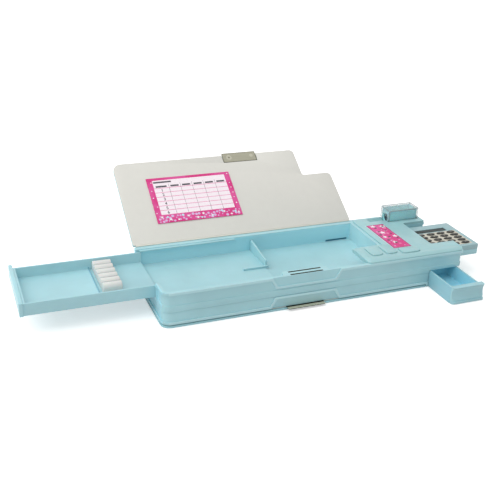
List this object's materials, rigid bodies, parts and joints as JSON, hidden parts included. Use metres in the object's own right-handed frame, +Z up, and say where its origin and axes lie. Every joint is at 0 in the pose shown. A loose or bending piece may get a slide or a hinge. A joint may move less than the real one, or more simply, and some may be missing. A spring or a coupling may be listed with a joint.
{
  "type": "magnetic pencil box",
  "caption": "Two-sided plastic pencil box, open: hinged magnetic lids above and below, sliding side tray, front drawer, slide-out calculator, rising sharpener.",
  "frame": {"origin": "middle of the box's footprint, without the tray, drawer and calculator, on the plane that it stands on", "axes": "+X along the box from the tray's end to the calculator's, +Y from the latch to the hinges, +Z up"},
  "size_m": [0.3706, 0.1864, 0.0743],
  "materials": {
    "case_aqua": "satin moulded plastic",
    "cover_aqua": "flexible sheet over board",
    "liner_pearl": "smooth off-white sheet",
    "strike_steel": "satin",
    "pole_steel": "dull",
    "magnet_ferrite": "dull",
    "label_pink": "printed film",
    "card_print": "printed card",
    "holder_white": "satin",
    "insert_white": "satin",
    "display_glass": "liquid crystal window",
    "key_rubber": "moulded rubber",
    "cover_clear": "clear",
    "small_steel": "polished"
  },
  "bodies": {
    "case": {"upper_case": "case_aqua", "lower_case": "case_aqua", "spine_cover": "cover_aqua", "compartment_divider": "case_aqua", "deck_panel": "case_aqua", "deck_label": "label_pink", "upper_front_pole": "pole_steel", "upper_magnet": "magnet_ferrite", "upper_rear_pole": "pole_steel", "lower_front_pole": "pole_steel", "lower_magnet": "magnet_ferrite", "lower_rear_pole": "pole_steel", "sharpener_spring": "small_steel"},
    "top_lid": {"top_lid_cover": "cover_aqua", "top_lid_liner": "liner_pearl", "top_lid_strike": "strike_steel", "timetable_card": "card_print"},
    "bottom_lid": {"bottom_lid_cover": "cover_aqua", "bottom_lid_liner": "liner_pearl", "bottom_lid_strike": "strike_steel"},
    "tray": {"side_tray": "case_aqua", "pencil_holder": "holder_white"},
    "drawer": {"front_drawer": "case_aqua"},
    "calculator": {"calculator_back": "case_aqua", "calculator_face": "case_aqua", "calculator_display": "display_glass"},
    "sharpener": {"sharpener_base": "case_aqua", "sharpener_insert": "insert_white", "sharpener_blade": "small_steel", "sharpener_screw": "small_steel", "sharpener_cover": "cover_clear"},
    "tray_button": {"tray_button": "case_aqua"},
    "sharpener_button": {"sharpener_button": "case_aqua"},
    "calculator_button": {"calculator_button": "case_aqua"},
    "key_1_1": {"key_1_1": "key_rubber"},
    "key_1_2": {"key_1_2": "key_rubber"},
    "key_1_3": {"key_1_3": "key_rubber"},
    "key_1_4": {"key_1_4": "key_rubber"},
    "key_2_1": {"key_2_1": "key_rubber"},
    "key_2_2": {"key_2_2": "key_rubber"},
    "key_2_3": {"key_2_3": "key_rubber"},
    "key_2_4": {"key_2_4": "key_rubber"},
    "key_3_1": {"key_3_1": "key_rubber"},
    "key_3_2": {"key_3_2": "key_rubber"},
    "key_3_3": {"key_3_3": "key_rubber"},
    "key_3_4": {"key_3_4": "key_rubber"},
    "key_4_1": {"key_4_1": "key_rubber"},
    "key_4_2": {"key_4_2": "key_rubber"},
    "key_4_3": {"key_4_3": "key_rubber"},
    "key_4_4": {"key_4_4": "key_rubber"},
    "key_5_1": {"key_5_1": "key_rubber"},
    "key_5_2": {"key_5_2": "key_rubber"},
    "key_5_3": {"key_5_3": "key_rubber"},
    "key_5_4": {"key_5_4": "key_rubber"}
  },
  "joints": [
    {"name": "top_lid_hinge", "type": "hinge", "parent": "case", "child": "top_lid", "pos_m": [-0.0305, 0.041, 0.0286], "axis": [1, 0, 0], "range_deg": [-32.8, 147.2]},
    {"name": "bottom_lid_hinge", "type": "hinge", "parent": "case", "child": "bottom_lid", "pos_m": [-0.0165, 0.041, 0.0022], "axis": [1, 0, 0], "range_deg": [0, 180]},
    {"name": "tray_slide", "type": "slide", "parent": "case", "child": "tray", "axis": [1, 0, 0], "range_m": [0, 0.0927]},
    {"name": "drawer_slide", "type": "slide", "parent": "case", "child": "drawer", "axis": [0, 1, 0], "range_m": [0, 0.033]},
    {"name": "calculator_slide", "type": "slide", "parent": "case", "child": "calculator", "axis": [-1, 0, 0], "range_m": [0, 0.0198]},
    {"name": "sharpener_slide", "type": "slide", "parent": "case", "child": "sharpener", "axis": [0, 0, -1], "range_m": [0, 0.01], "stiffness_N_per_m": 40, "springref_m": -0.004, "deforming": ["sharpener_spring"]},
    {"name": "tray_button_press", "type": "hinge", "parent": "case", "child": "tray_button", "pos_m": [0.0515, -0.0184, 0.0299], "axis": [1, 0, 0], "range_deg": [0, 3.2], "stiffness_Nm_per_rad": 0.07},
    {"name": "sharpener_button_press", "type": "hinge", "parent": "case", "child": "sharpener_button", "pos_m": [0.0647, -0.0184, 0.0299], "axis": [1, 0, 0], "range_deg": [0, 3.2], "stiffness_Nm_per_rad": 0.07},
    {"name": "calculator_button_press", "type": "hinge", "parent": "case", "child": "calculator_button", "pos_m": [0.0812, -0.026, 0.0299], "axis": [1, 0, 0], "range_deg": [0, 3.2], "stiffness_Nm_per_rad": 0.07},
    {"name": "key_1_1_press", "type": "slide", "parent": "calculator", "child": "key_1_1", "axis": [0, 0, -1], "range_m": [0, 0.0007], "stiffness_N_per_m": 300},
    {"name": "key_1_2_press", "type": "slide", "parent": "calculator", "child": "key_1_2", "axis": [0, 0, -1], "range_m": [0, 0.0007], "stiffness_N_per_m": 300},
    {"name": "key_1_3_press", "type": "slide", "parent": "calculator", "child": "key_1_3", "axis": [0, 0, -1], "range_m": [0, 0.0007], "stiffness_N_per_m": 300},
    {"name": "key_1_4_press", "type": "slide", "parent": "calculator", "child": "key_1_4", "axis": [0, 0, -1], "range_m": [0, 0.0007], "stiffness_N_per_m": 300},
    {"name": "key_2_1_press", "type": "slide", "parent": "calculator", "child": "key_2_1", "axis": [0, 0, -1], "range_m": [0, 0.0007], "stiffness_N_per_m": 300},
    {"name": "key_2_2_press", "type": "slide", "parent": "calculator", "child": "key_2_2", "axis": [0, 0, -1], "range_m": [0, 0.0007], "stiffness_N_per_m": 300},
    {"name": "key_2_3_press", "type": "slide", "parent": "calculator", "child": "key_2_3", "axis": [0, 0, -1], "range_m": [0, 0.0007], "stiffness_N_per_m": 300},
    {"name": "key_2_4_press", "type": "slide", "parent": "calculator", "child": "key_2_4", "axis": [0, 0, -1], "range_m": [0, 0.0007], "stiffness_N_per_m": 300},
    {"name": "key_3_1_press", "type": "slide", "parent": "calculator", "child": "key_3_1", "axis": [0, 0, -1], "range_m": [0, 0.0007], "stiffness_N_per_m": 300},
    {"name": "key_3_2_press", "type": "slide", "parent": "calculator", "child": "key_3_2", "axis": [0, 0, -1], "range_m": [0, 0.0007], "stiffness_N_per_m": 300},
    {"name": "key_3_3_press", "type": "slide", "parent": "calculator", "child": "key_3_3", "axis": [0, 0, -1], "range_m": [0, 0.0007], "stiffness_N_per_m": 300},
    {"name": "key_3_4_press", "type": "slide", "parent": "calculator", "child": "key_3_4", "axis": [0, 0, -1], "range_m": [0, 0.0007], "stiffness_N_per_m": 300},
    {"name": "key_4_1_press", "type": "slide", "parent": "calculator", "child": "key_4_1", "axis": [0, 0, -1], "range_m": [0, 0.0007], "stiffness_N_per_m": 300},
    {"name": "key_4_2_press", "type": "slide", "parent": "calculator", "child": "key_4_2", "axis": [0, 0, -1], "range_m": [0, 0.0007], "stiffness_N_per_m": 300},
    {"name": "key_4_3_press", "type": "slide", "parent": "calculator", "child": "key_4_3", "axis": [0, 0, -1], "range_m": [0, 0.0007], "stiffness_N_per_m": 300},
    {"name": "key_4_4_press", "type": "slide", "parent": "calculator", "child": "key_4_4", "axis": [0, 0, -1], "range_m": [0, 0.0007], "stiffness_N_per_m": 300},
    {"name": "key_5_1_press", "type": "slide", "parent": "calculator", "child": "key_5_1", "axis": [0, 0, -1], "range_m": [0, 0.0007], "stiffness_N_per_m": 300},
    {"name": "key_5_2_press", "type": "slide", "parent": "calculator", "child": "key_5_2", "axis": [0, 0, -1], "range_m": [0, 0.0007], "stiffness_N_per_m": 300},
    {"name": "key_5_3_press", "type": "slide", "parent": "calculator", "child": "key_5_3", "axis": [0, 0, -1], "range_m": [0, 0.0007], "stiffness_N_per_m": 300},
    {"name": "key_5_4_press", "type": "slide", "parent": "calculator", "child": "key_5_4", "axis": [0, 0, -1], "range_m": [0, 0.0007], "stiffness_N_per_m": 300}
  ]
}
